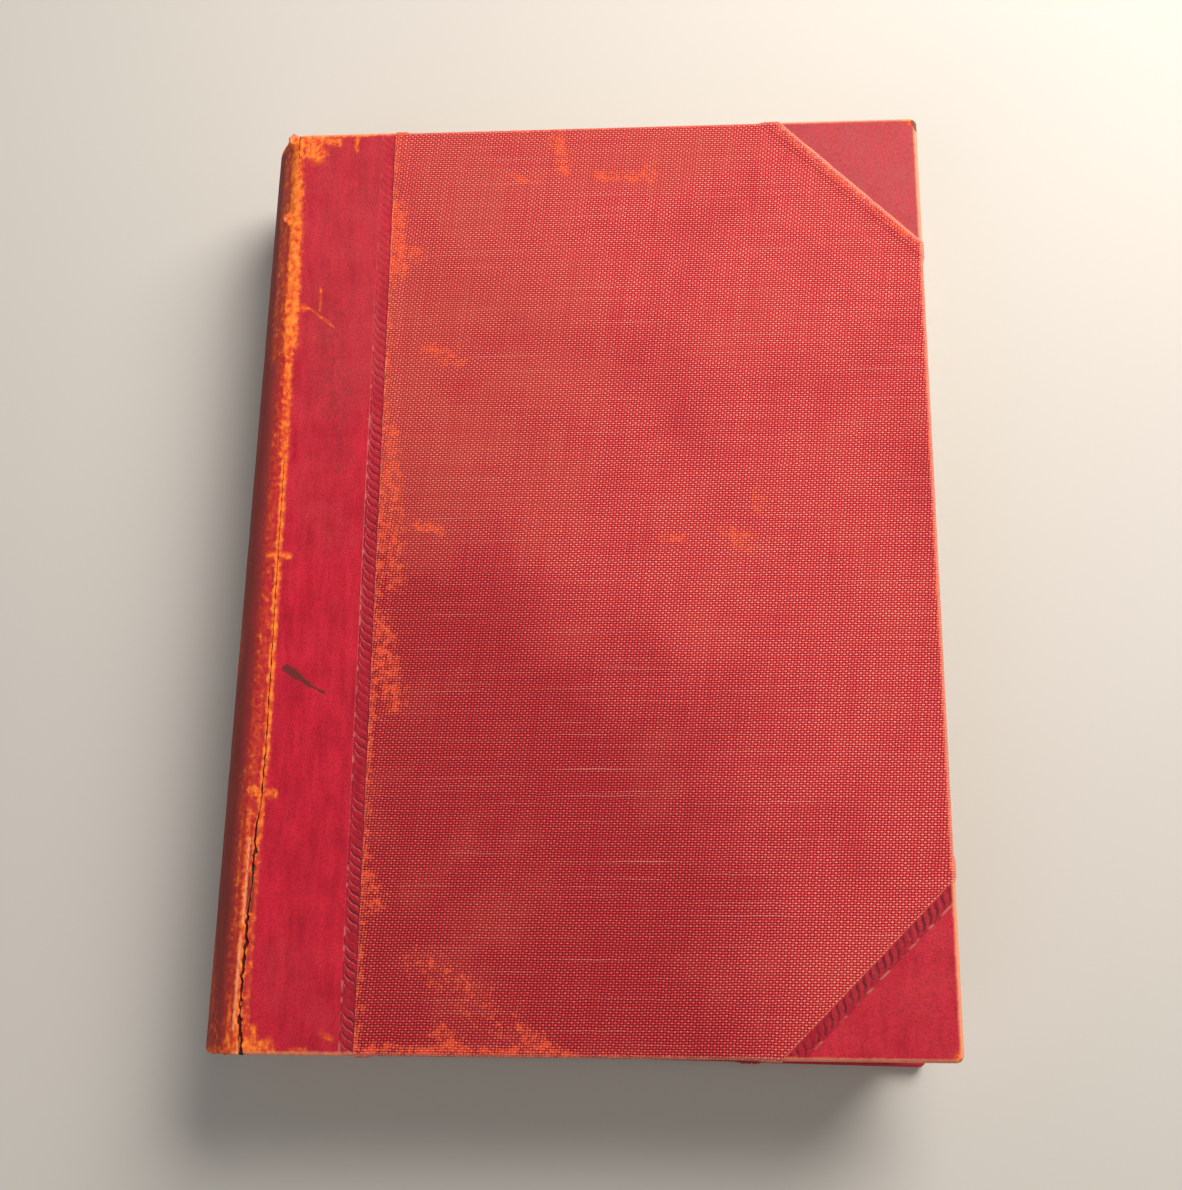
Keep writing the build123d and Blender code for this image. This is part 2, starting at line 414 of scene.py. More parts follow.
def bookcloth_material(name, seed):
    """Dusty red bookcloth, woven, rubbed to orange where it has worn."""
    material, put = new_material(name)
    place = stored(put, "flat_mm", "Vector") + (0, 0, 53.0 * seed)
    s, t = place[0], place[1]
    # Threads wander a little.
    sway = fractal(place, 0.22, 2.0) * 0.5
    warp_at = t * WARP_LEAN + s + sway
    weft_at = t + sway
    warp_wave = maths("SINE", warp_at * (pi / WARP_MM))
    weft_wave = maths("SINE", weft_at * (pi / WEFT_MM))
    on_top = maths("GREATER_THAN", warp_wave * weft_wave, 0.0)
    # Each thread is round across its width and dips at its ends, where it goes under.
    warp_over = (abs(weft_wave) * 0.55 + 0.45) * abs(warp_wave)
    weft_over = (abs(warp_wave) * 0.4 + 0.6) * abs(weft_wave)
    thread = put("Mix", {0: on_top, 2: weft_over, 3: warp_over})
    # Thick places in single threads, stretched along the weft and along the warp.
    weft_row = put("CombineXYZ", {0: s * (1 / SLUB_MM), 1: weft_at * (1 / WEFT_MM), 2: 7.0 * seed})
    warp_row = put("CombineXYZ", {0: warp_at * (1 / WARP_MM), 1: t * (1 / SLUB_MM), 2: 9.0 * seed})
    slub, rib = fractal(weft_row, 1.0, 1.0), fractal(warp_row, 1.0, 1.0)
    thick = ramp(slub, 0.66, 0.8)

    # Where hands and shelves haven't reached, more of the dye is left.
    mottle = fractal(place, 1 / CLOTH_MOTTLE_MM, 6.0, 0.6)
    tone = ramp(mottle * 1.4 + stored(put, "faded"), 0.75, 1.75)
    # The gaps between the threads are painted darker, partly deeper dye and partly painted shade.
    low = ramp(thread, 0.25, 0.8)
    # The weft lies higher than the warp, so only its crossings are rubbed pale, and their pale is partly
    # painted highlight.
    high = ramp((1.0 - on_top) * weft_over, 0.56, 0.97)
    high = high * ramp(slub + rib, 0.78, 1.18, 0.4) * ramp(tone, start=0.55)
    colour = mix(low, mix(tone, "#5E0413", "#7E1020"), mix(tone, "#C01226", "#E4323D"))
    colour = mix(high, colour, mix(tone, "#FF8C76", "#FFAE90"))
    colour = mix(thick * low * 0.55, colour, "#F28C80")

    # Handling has browned the cloth nearest the spine.
    soil = ramp(mottle * 1.6 + stored(put, "stained"), 0.85, 1.7, end=0.55)
    colour = mix(soil, colour, "#A84430")
    # Rubbed places keep their dark hollows for longest, and their weft tops carry the painted highlight too.
    coarse = fractal(place, 0.55, 7.0, 0.75)
    edge = thread * 0.3 + (coarse * 2.6 + stored(put, "rubbed"))
    colour = mix(ramp(edge, 1.84, 2.1, end=0.95), colour, mix(high, "#DC472D", "#FF9464"))
    # Small flecks where a thread's top has been scraped.
    fleck = ramp(fractal(place, 0.8, 4.0, 0.7), 0.66, 0.73, end=0.75)
    colour = mix(fleck * low, colour, "#F2705A")
    # The cut edge of the cloth shows the pale starch, and the pale line along it is partly painted highlight
    # on the raised edge.
    cut_edge_pale_and_highlight = ramp(coarse * -1.5 + stored(put, "from_cut"), -0.35, -0.85, end=0.35)
    colour = mix(cut_edge_pale_and_highlight, colour, "#EFA07C")
    # Handling has polished the threads pale along the edges of the board, partly as painted highlight, and a
    # painted highlight runs along the head corner's slanted cut.
    colour = mix(ramp(coarse * 0.5 + stored(put, "handled"), 0.5, 1.2, end=0.6), colour, "#EE9C84")

    height, roughness = thick * 0.35 + thread, ramp(thread, start=0.9, end=0.66)
    finish_material(put, colour, roughness, height, 0.12, IOR=1.48, Specular_IOR_Level=0.3,
                    Sheen_Weight=0.05, Sheen_Roughness=0.5)
    return material


cloth_finish = {"front": bookcloth_material("red_bookcloth_front", 1),
                "rear": bookcloth_material("red_bookcloth_rear", 2)}

# %% [markdown]
# ## A sheet wrapped over a board
# Cloth and corner leathers are pasted flat on the board, turned over its edges and pasted down inside.
# The sheet is a grid on the outer face. Rings of points carry its border round the edge of the board and
# back along the inner face. Each point also keeps its place on the flat sheet, so that a woven pattern
# runs over the edge as real cloth does.

# %% The wrapped sheet
TIP_RADIUS = 1.5  # the worn tips of the board
EDGE_ROUND = 0.9
TURN_IN = 15.0
FAN_STEPS = 6
ROUND_STEPS = 4


def wrap_profile(offset):
    """Steps of (outwards, z, distance along the sheet) from the border of the grid round to the turn-in."""
    reach = TIP_RADIUS + offset
    inner = reach - EDGE_ROUND
    top, bottom = board_thickness + offset, -offset
    turns = [i * pi / 2 / ROUND_STEPS for i in range(ROUND_STEPS + 1)]
    steps = [(0.0, top), (inner / 2, top)]
    steps += [(inner + EDGE_ROUND * sin(a), top - EDGE_ROUND + EDGE_ROUND * cos(a)) for a in turns]
    steps += [(inner + EDGE_ROUND * cos(a), bottom + EDGE_ROUND - EDGE_ROUND * sin(a)) for a in turns]
    steps += [(inner - (TURN_IN - EDGE_ROUND) * i / 6, bottom) for i in range(1, 7)]
    profile, travelled = [], 0.0
    for k, (out, z) in enumerate(steps):
        if k:
            travelled += sqrt((out - steps[k - 1][0]) ** 2 + (z - steps[k - 1][1]) ** 2)
        profile.append((out, z, travelled))
    return profile


def lines(start, end, step):
    """Evenly spaced values from start to end, about step apart."""
    count = max(1, round((end - start) / step))
    return [start + (end - start) * i / count for i in range(count + 1)]


def wrapped_sheet(s_lines, y_lines, offset, both_ends):
    """The open outer surface of a covering, turned in over the head, the fore-edge and perhaps the tail."""
    bm = bmesh.new()
    flat = bm.verts.layers.float_vector.new("flat_mm")
    top = board_thickness + offset
    edge_s, edge_y = s_lines[-1], y_lines[-1]

    def point(s, y, z, flat_s, flat_y):
        made = bm.verts.new((s, y, z))
        made[flat] = (flat_s, half_height - flat_y, 0.0)
        return made

    grid = [[point(s, y, top, s, y) for y in y_lines] for s in s_lines]
    for i in range(len(s_lines) - 1):
        for j in range(len(y_lines) - 1):
            bm.faces.new((grid[i][j], grid[i + 1][j], grid[i + 1][j + 1], grid[i][j + 1]))

    fan = [i * pi / 2 / FAN_STEPS for i in range(FAN_STEPS + 1)]
    route = [(column[-1], 0.0, 1.0) for column in grid[:-1]]
    route += [(grid[-1][-1], sin(turn), cos(turn)) for turn in fan]
    route += [(corner, 1.0, 0.0) for corner in reversed(grid[-1][:-1])]
    if both_ends:
        route.pop()
        route += [(grid[-1][0], cos(turn), -sin(turn)) for turn in fan]
        route += [(column[0], 0.0, -1.0) for column in reversed(grid[:-1])]

    previous = [start for start, _, _ in route]
    for out, z, travelled in wrap_profile(offset)[1:]:
        ring = []
        for start, ds, dy in route:
            s, y = start.co.x + out * ds, start.co.y + out * dy
            if out < 0:
                # On the inner face the turn-ins meet in a mitre.
                limit = edge_y + out
                s = min(start.co.x, edge_s + out)
                y = limit if dy > 0 else -limit if dy < 0 else max(-limit, min(limit, start.co.y))
            ring.append(point(s, y, z, start.co.x + travelled * ds, start.co.y + travelled * dy))
        for k in range(len(route) - 1):
            corners = [previous[k], previous[k + 1], ring[k + 1], ring[k]]
            if previous[k] is previous[k + 1]:
                corners.pop(1)
            bm.faces.new(corners)
        previous = ring
    bmesh.ops.remove_doubles(bm, verts=bm.verts, dist=0.0005)
    return bm


def cut_sheet(bm, point, direction, keep_both=False):
    """Cuts the sheet with an upright plane. Unless both are kept, the side that direction points to goes."""
    parts = bm.verts[:] + bm.edges[:] + bm.faces[:]
    bmesh.ops.bisect_plane(bm, geom=parts, dist=1e-5, plane_co=point, plane_no=direction,
                           clear_outer=not keep_both)


def face_outwards(bm):
    """Turns the faces of an open sheet so that its middle faces up from the board."""
    bmesh.ops.recalc_face_normals(bm, faces=bm.faces)
    if max(bm.faces, key=lambda face: face.calc_center_median().z).normal.z < 0:
        bmesh.ops.reverse_faces(bm, faces=bm.faces)
    bm.normal_update()


def corner_line(end, shift=0.0):
    """A point and direction of a corner's diagonal, moved by shift away from the tip of the board."""
    direction = Vector((1, end, 0)).normalized()
    on_line = Vector((board_width - corner_legs[end], end * half_height, 0)) - shift * direction
    return on_line, direction


def from_corner(co, end):
    """Distance from a corner's diagonal, positive on the cloth's side."""
    on_line, direction = corner_line(end)
    return (on_line - co).dot(direction)


def thicken(bm, thickness):
    """Closes an open sheet by adding its inner face and its rims."""
    face_outwards(bm)
    layers = bm.verts.layers.float_vector.values() + bm.verts.layers.float.values()
    outer = bm.verts[:]
    inner = {}
    for v in outer:
        made = bm.verts.new(v.co - v.normal * thickness)
        for layer in layers:
            made[layer] = v[layer]
        inner[v] = made
    rims = [edge for edge in bm.edges if edge.is_boundary]
    for face in bm.faces[:]:
        bm.faces.new([inner[v] for v in reversed(face.verts)])
    for edge in rims:
        a, b = edge.link_loops[0].vert, edge.link_loops[0].link_loop_next.vert
        bm.faces.new((b, a, inner[a], inner[b]))


# %% [markdown]
# ## The cloth sides
# The cloth goes on after the leather and laps 3 mm over it, so it stands up along its cut edges and drops
# to the board beyond them. Its corners are cut off at a slant to show the leather corners.

# %% Cloth over both boards
CLOTH_GRID = 1.7
LAP_START = cloth_overlap - 0.4  # where the cloth starts to come down off the leather
LAP_END = cloth_overlap + 1.0  # and where it has reached the board
CLOTH_SINK = 0.02  # so that no light passes between cloth and board
RAGGED = 0.1
CORNER_CUT = 17.0  # added to a bare corner's leg, for the cloth that is turned in


def smooth_step(low, high, value):
    share = max(0.0, min(1.0, (value - low) / (high - low)))
    return share * share * (3 - 2 * share)


def uneven(x, y, size, seed):
    """Smooth noise from -1 to 1 with features of about size."""
    return noise.noise(Vector((x / size, y / size, seed)))


# The three free edges of a board, which hands polish, painted pale partly as wear and partly as painted
# highlight.
board_edges = [
    (-2, -0.4, 161, -0.4, 0.9, 0.7), (162.6, 1, 162.6, 233, 1.0, 0.9), (-2, 234.6, 161, 234.6, 0.9, 0.7),
]
# Rubbed and browned places of the front cloth, as s, t, s, t, radius, strength.
front_cloth_rubs = [
    (27, 22, 28, 40, 3.2, 0.64), (27, 0, 27, 232, 1.2, 0.54), (29, 34, 34, 36, 2.2, 0.62),
    (28, 84, 31, 124, 3.0, 0.48), (28, 134, 32, 153, 3.4, 0.54), (28, 195, 30, 201, 2.6, 0.54),
    (69, 3, 71, 12, 2.6, 0.64), (57, 14, 63, 15, 1.8, 0.54), (79, 14, 94, 15, 2.0, 0.54),
    (94, 11, 93, 15, 1.4, 0.52), (37, 62, 44, 65, 3.0, 0.52), (35, 109, 42, 110, 1.8, 0.6),
    (70, 110, 71, 110, 1.6, 0.48), (97, 113, 101, 113, 1.8, 0.54), (112, 111, 117, 116, 2.4, 0.48),
    (112, 112, 126, 113, 1.0, 0.52), (120, 101, 120, 106, 2.0, 0.48), (26, 233, 75, 234, 1.6, 0.62),
    (45, 229, 50, 232, 2.4, 0.54), (64, 229, 70, 232, 2.4, 0.54), (26, 0, 128, 0, 0.9, 0.42),
    (162, 34, 162, 196, 0.9, 0.54), (75, 234, 124, 235, 0.9, 0.42), (40, 214, 60, 226, 5.0, 0.36),
    (126.4, 1, 161.2, 36, 1.2, 0.6),
]
front_cloth_grime = [(40, 30, 46, 84, 30.0, 0.45), (60, 6, 110, 6, 12.0, 0.35)]
front_cloth_faded = [
    (30, 0, 165, 30, 60.0, 1.0), (125, 60, 155, 235, 34.0, 0.9), (30, 60, 110, 120, 34.0, 0.85),
]
rear_cloth_rubs = [
    (27, 0, 27, 235, 1.4, 0.52), (28, 40, 31, 80, 3.0, 0.46), (60, 228, 66, 233, 2.6, 0.55),
    (90, 120, 130, 150, 9.0, 0.36), (162, 38, 162, 192, 1.0, 0.55), (30, 234, 122, 234, 1.0, 0.52),
    (30, 0, 126, 0, 1.0, 0.52), (104, 40, 110, 43, 2.4, 0.5),
]
cloth_wear = {
    "front": {"rubbed": front_cloth_rubs, "stained": front_cloth_grime, "faded": front_cloth_faded,
              "handled": board_edges + [(127.4, 0.4, 161.8, 34.8, 0.5, 1.1)]},
    "rear": {"rubbed": rear_cloth_rubs, "faded": [(20, 0, 160, 235, 60.0, 0.6)], "handled": board_edges},
}


def make_cloth(side):
    """One cloth side with its laps, ragged cut edges and turn-ins."""
    s_lines = lines(strip_width - 1, board_width - TIP_RADIUS, CLOTH_GRID)
    y_lines = lines(TIP_RADIUS - half_height, half_height - TIP_RADIUS, CLOTH_GRID)
    bm = wrapped_sheet(s_lines, y_lines, cloth_thickness, True)
    cuts = [(Vector((strip_width, 0, 0)), Vector((-1, 0, 0)))] + [corner_line(end) for end in (1, -1)]
    # Extra lines of points let the cloth come down steeply off the leather.
    for shift in (LAP_START, LAP_END):
        for place, direction in cuts:
            cut_sheet(bm, place - shift * direction, direction, keep_both=True)
    for place, direction in cuts:
        cut_sheet(bm, place, direction)
    face_outwards(bm)
    from_cut = bm.verts.layers.float.new("from_cut")
    lifts = []
    for v in bm.verts:
        gap = min(v.co.x - strip_width, from_corner(v.co, 1), from_corner(v.co, -1))
        v[from_cut] = gap
        lift = leather_thickness * (1 - smooth_step(LAP_START, LAP_END, gap))
        ragged = RAGGED * uneven(v.co.x, v.co.y, 2.3, 4.0) if gap < 0.01 else 0.0
        lifts.append((v, v.normal * (lift - CLOTH_SINK) + Vector((ragged, ragged, 0))))
    for v, move in lifts:
        v.co += move
    thicken(bm, cloth_thickness)
    cloth = make_piece(f"{side}_bookcloth", bm, cloth_finish[side], to_metres @ covers[side])
    set_wear(cloth.data, **cloth_wear[side])
    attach(cloth, f"{side}_cover")
    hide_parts(f"{side}_cloth")
    # The flat cut: board plus turn-ins on three sides, less the two slanted corners.
    width = board_width - strip_width + board_thickness + TURN_IN
    length = board_height + 2 * (board_thickness + TURN_IN)
    cut_off = sum((leg + CORNER_CUT) ** 2 / 2 for leg in corner_legs.values())
    (width * length - cut_off) * MM * MM
    print(cloth.name, "cut", round(width, 1), "x", round(length, 1), "mm")


for side in covers:
    make_cloth(side)

# %% [markdown]
# ## The leather corners
# Each corner is a three-sided patch, pasted on before the cloth. The rope is rolled along its slanted
# edge, just clear of the cloth. The tip takes every knock, so it is rubbed through to tan.

# %% Corner leathers
CORNER_GRID = 0.6
CORNER_PRESS = 0.1
NO_ROLL = 50.0  # the place across the roll of points that it never touched
# How firmly the rope was rolled: it barely took at the front's head.
corner_firmness = {("front", 1): 0.12, ("front", -1): 1.0, ("rear", 1): 0.7, ("rear", -1): 0.7}


def roll_press(run, across):
    """How deep the roll has pressed at a place along and across the rope, in millimetres."""
    phase = run / ROLL_PITCH + across * ROLL_LEAN / ROLL_WIDTH
    phase += ROLL_BEND * sin(2 * pi * across / ROLL_WIDTH)
    stroke = smooth_step(*STROKE_RISE, cos(2 * pi * phase))
    from_middle = abs(across - ROLL_WIDTH / 2 - ROLL_GAP)
    return stroke * (1 - smooth_step(ROLL_WIDTH / 2 - ROLL_FADE, ROLL_WIDTH / 2, from_middle))


def make_corner(side, end):
    """One leather corner; end is 1 at the head and -1 at the tail."""
    reach = corner_legs[end] + 5
    s_lines = lines(board_width - reach, board_width - TIP_RADIUS, CORNER_GRID)
    y_lines = lines(half_height - reach, half_height - TIP_RADIUS, CORNER_GRID)
    bm = wrapped_sheet(s_lines, y_lines, leather_thickness, False)
    flat = bm.verts.layers.float_vector["flat_mm"]
    if end < 0:
        # The tail's corner is the head's, mirrored.
        for v in bm.verts:
            v.co.y = -v.co.y
            v[flat] = (v[flat][0], board_height - v[flat][1], 0.0)
    point, direction = corner_line(end, cloth_overlap)
    cut_sheet(bm, point, -direction)
    roll = bm.verts.layers.float_vector.new("roll_mm")
    along = Vector((-end, 1, 0)).normalized()
    firm = corner_firmness[side, end]
    for v in bm.verts:
        across = -from_corner(v.co, end)
        on_face = v.co.z > leather_top - 0.01
        v[roll] = (v.co.dot(along), across if on_face else NO_ROLL, firm)
        if on_face:
            v.co.z -= firm * CORNER_PRESS * roll_press(v.co.dot(along), across)
    thicken(bm, leather_thickness)
    name = "head" if end > 0 else "tail"
    finish = corner_finish if side == "front" else rear_finish
    corner = make_piece(f"{side}_{name}_leather_corner", bm, finish, to_metres @ covers[side])
    # Wear runs from the tip (s, t) of the board along both edges.
    tip, tip_t = board_width, 0.0 if end > 0 else board_height
    rubs = [(tip, tip_t, tip, tip_t, 2.6, 0.75), (tip - 30, tip_t - end, tip, tip_t - end, 0.8, 0.32),
            (tip + 1, tip_t, tip + 1, tip_t + 34 * end, 0.8, 0.32)]
    holes, faded = [], [(tip - 6, tip_t + 6 * end, tip, tip_t, 30.0, 0.3)]
    if (side, end) == ("front", 1):
        # The head's tip is knocked through to the dark board, and the patch has lost its colour, its paler,
        # duller red partly painted sheen.
        holes = [(tip - 0.1, 0.8, tip + 0.6, 2.8, 0.9, 1.5)]
        rubs += [(tip - 5, -0.4, tip + 0.6, 0.2, 1.0, 0.9), (tip + 0.6, 6, tip + 0.8, 12, 0.9, 0.8)]
        faded = [(tip - 20, 0, tip, 24, 30.0, 0.75)]
    set_wear(corner.data, rubbed=rubs, stained=holes, handled=board_edges, faded=faded)
    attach(corner, f"{side}_cover")
    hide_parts(f"{side}_{name}_corner")


for side in covers:
    for end in corner_legs:
        make_corner(side, end)

# %% [markdown]
# ## Leather round the spine and over the joints
# One skin runs from the rear joint round the hollow back and on to the front board. It is folded in at
# head and tail, over the stiffener at the spine and over the edge of the board beyond the joint. Opening
# the cover has cracked it along the front joint. Columns of points run down the skin, and a few of them
# follow the crack, so its lips stay sharp at any width.

# %% The section of the spine
SPINE_LEATHER = 0.8
BEND_STEP = 0.9  # the bend at the front joint is averaged over points this far apart
BEND_WEIGHTS = (0.12, 0.22, 0.32, 0.22, 0.12)
CLEAR_OF_REAR, CLEAR_OF_FRONT = 0.02, 0.05  # how far the back keeps behind each joint
spine_rise = rear_joint.x - spine_low.x
spine_half = (spine_high.z - spine_low.z) / 2
spine_middle = (spine_high.z + spine_low.z) / 2
spine_end = half_height + leather_thickness
spine_radius = (spine_half**2 + spine_rise**2) / (2 * spine_rise)
spine_centre = rear_joint.x - spine_rise + spine_radius
arc_angle = asin(spine_half / spine_radius)
arc_length = 2 * spine_radius * arc_angle
print("spine radius", round(spine_radius, 2), "round the back", round(arc_length, 1), "mm")


def lip_width(y):
    """How far the front joint has drawn away from the spine's arc at a place along the book."""
    return max(0.0, (front_frame @ Vector((0, y, 0))).x - rear_joint.x)


def section_point(sigma, y):
    """A point of the skin's outer face, sigma from the front joint: the cover, the lip, then the arc."""
    lip = lip_width(y)
    if sigma >= -lip:
        made = front_frame @ Vector((max(sigma, 0.0), y, leather_top))
        return made + Vector((min(sigma, 0.0), 0, 0))
    angle = arc_angle + (sigma + lip) / spine_radius
    x = spine_centre - spine_radius * cos(angle)
    return Vector((x, y + front_joint.y, spine_middle + spine_radius * sin(angle)))


def spine_place(sigma, y, depth):
    """The point depth below the skin, with the bend at the joint rounded off."""
    weights = BEND_WEIGHTS if -7 < sigma < 4 else (0, 0, 1, 0, 0)
    around = [section_point(sigma + (k - 3) * BEND_STEP, y) for k in range(7)]
    here = sum((around[k + 1] * w for k, w in enumerate(weights)), Vector())
    tangent = (around[4] - around[2]) if weights[0] == 0 else (around[5] - around[1])
    outwards = Vector((-tangent.z, 0, tangent.x)).normalized()
    made = here - outwards * depth
    if sigma < -arc_length / 2:
        # The back keeps behind both joints, or it would swing with a cover.
        joint_x = (front_frame @ Vector((0, y, 0))).x
        made.x = min(made.x, rear_joint.x - CLEAR_OF_REAR, joint_x - CLEAR_OF_FRONT)
    return made


def rear_place(sigma, y, depth):
    """The same on the rear cover, where the skin starts at the joint."""
    return rear_frame @ Vector((sigma, y, leather_top - depth))


# %% The crack along the front joint
PLAIN_STEP = 0.95
ROPE_STEP = 0.36
ROPE_FROM = strip_width - 5.6
BACK_COLUMNS = 44
CRACK_LEFT, CRACK_RIGHT = -3.6, 3.4  # the skin is finely divided between these
# Distance from the head, centre of the crack and its width.
crack_points = [
    (-3, 0.0, 0.5), (0, 0.0, 0.5), (7.5, 0.0, 0.35), (9.5, 0.3, 0.0), (85, 1.3, 0.0), (93, 1.35, 0.16),
    (130, 1.3, 0.2), (164, 1.35, 0.32), (174, 1.1, 0.4), (179, 0.9, 0.2), (183, 0.2, 0.65),
    (192, 0.2, 0.95), (196, 0.1, 0.4), (202, -0.3, 0.4), (204, -0.55, 0.8), (211, -0.55, 1.0),
    (217, -0.75, 0.7), (222, -0.9, 0.75), (228, -0.6, 1.0), (235, -0.3, 1.3), (240, -0.3, 1.3),
]


def crack_at(t):
    """The crack's centre and width at a distance from the head, with a torn wobble."""
    ts, centres, widths = zip(*crack_points)
    centre, width = float(np.interp(t, ts, centres)), float(np.interp(t, ts, widths))
    wobble = uneven(t, 0, 2.6, 8.0) * 0.7 + uneven(t, 0, 1.1, 3.0) * 0.6
    return centre + wobble * min(width, 0.7), width * max(0.15, 1 + 1.3 * uneven(t, 0, 1.9, 5.0))


def strip_columns(start):
    """Columns across the flat strip, from start to under the cloth, closest where the rope runs."""
    sigmas = lines(start, ROPE_FROM, PLAIN_STEP)[1:] + lines(ROPE_FROM, strip_width + 0.2, ROPE_STEP)[1:]
    return [(sigma, 0.0, 0.0) for sigma in [*sigmas, strip_width + 1.5, strip_width + cloth_overlap]]


def front_columns(t):
    """The columns at a distance from the head, as (sigma, depth pressed in, share of the split)."""
    y = half_height - t
    total = lip_width(y) + arc_length
    made = [(-6 - (total - 6) * (1 - i / BACK_COLUMNS), 0.0, 0.0) for i in range(BACK_COLUMNS + 1)]
    made += [(sigma, 0.0, 0.0) for sigma in (-5.2, -4.4)]
    centre, width = crack_at(t)
    half = max(width, 0.06) / 2
    depth = min(0.65, 0.2 + 0.5 * width) if width > 0.08 else 0.0
    if centre > 0.3:
        depth = min(depth, leather_thickness - 0.08)
    lip = -0.12 * min(1.0, width * 2)
    flake = -0.55 * smooth_step(0.4, 0.9, width)
    for i in range(8):
        sigma = CRACK_LEFT + (centre - half - 0.3 - CRACK_LEFT) * i / 7
        made.append((sigma, (lip + flake * (0.35 + uneven(sigma, t, 1.3, 12.0))) * (i / 7) ** 2, 0.0))
    share = 1.0 if depth else 0.0
    made += [(centre - half, lip, 0.0), (centre - half * 0.55, depth, share)]
    made += [(centre + half * 0.55, depth, share), (centre + half, lip, 0.0)]
    made += [(centre + half + 0.3 + (CRACK_RIGHT - centre - half - 0.3) * i / 7, lip * (1 - i / 7) ** 2, 0.0)
             for i in range(8)]
    return made + strip_columns(CRACK_RIGHT)


def rear_columns(t):
    """The same for the rear strip, which has no crack."""
    return [(i / 4, 0.0, 0.0) for i in range(5)] + strip_columns(1.0)


# %% The skin itself
ROW_STEP = 0.64
END_ROUND = 0.75  # rounding of the leather where it turns over at head and tail
CAP_FOLD = 1.7  # thickness of the folded leather at the headcap
CAP_DROP = 0.65  # how much thinner the fold is at the joints
CAP_HALF = (10.5, 13.5)  # from the middle of the back to where the headcap thins out
SKIN_TURN_IN = {"spine": 12.0, "board": 15.0}
SKIN_PRESS = 0.08


def strip_firmness(t):
    """How firmly the roll was pressed along the strip: it has worn away near the head."""
    return 0.15 + 0.7 * smooth_step(25, 110, t)


def end_profile(top, bottom, inset, rounding, turn_in):
    """(distance from the end of the skin, depth) from the outer face round the end to the turn-in."""
    near, turns = inset + rounding, [i * pi / 6 for i in range(4)]
    made = [(near - rounding * sin(a), top + rounding - rounding * cos(a)) for a in turns]
    made += [(near - rounding * cos(a), bottom - rounding + rounding * sin(a)) for a in turns]
    return made + [(turn_in * 0.4, bottom), (turn_in * 0.7, bottom), (turn_in, bottom)]


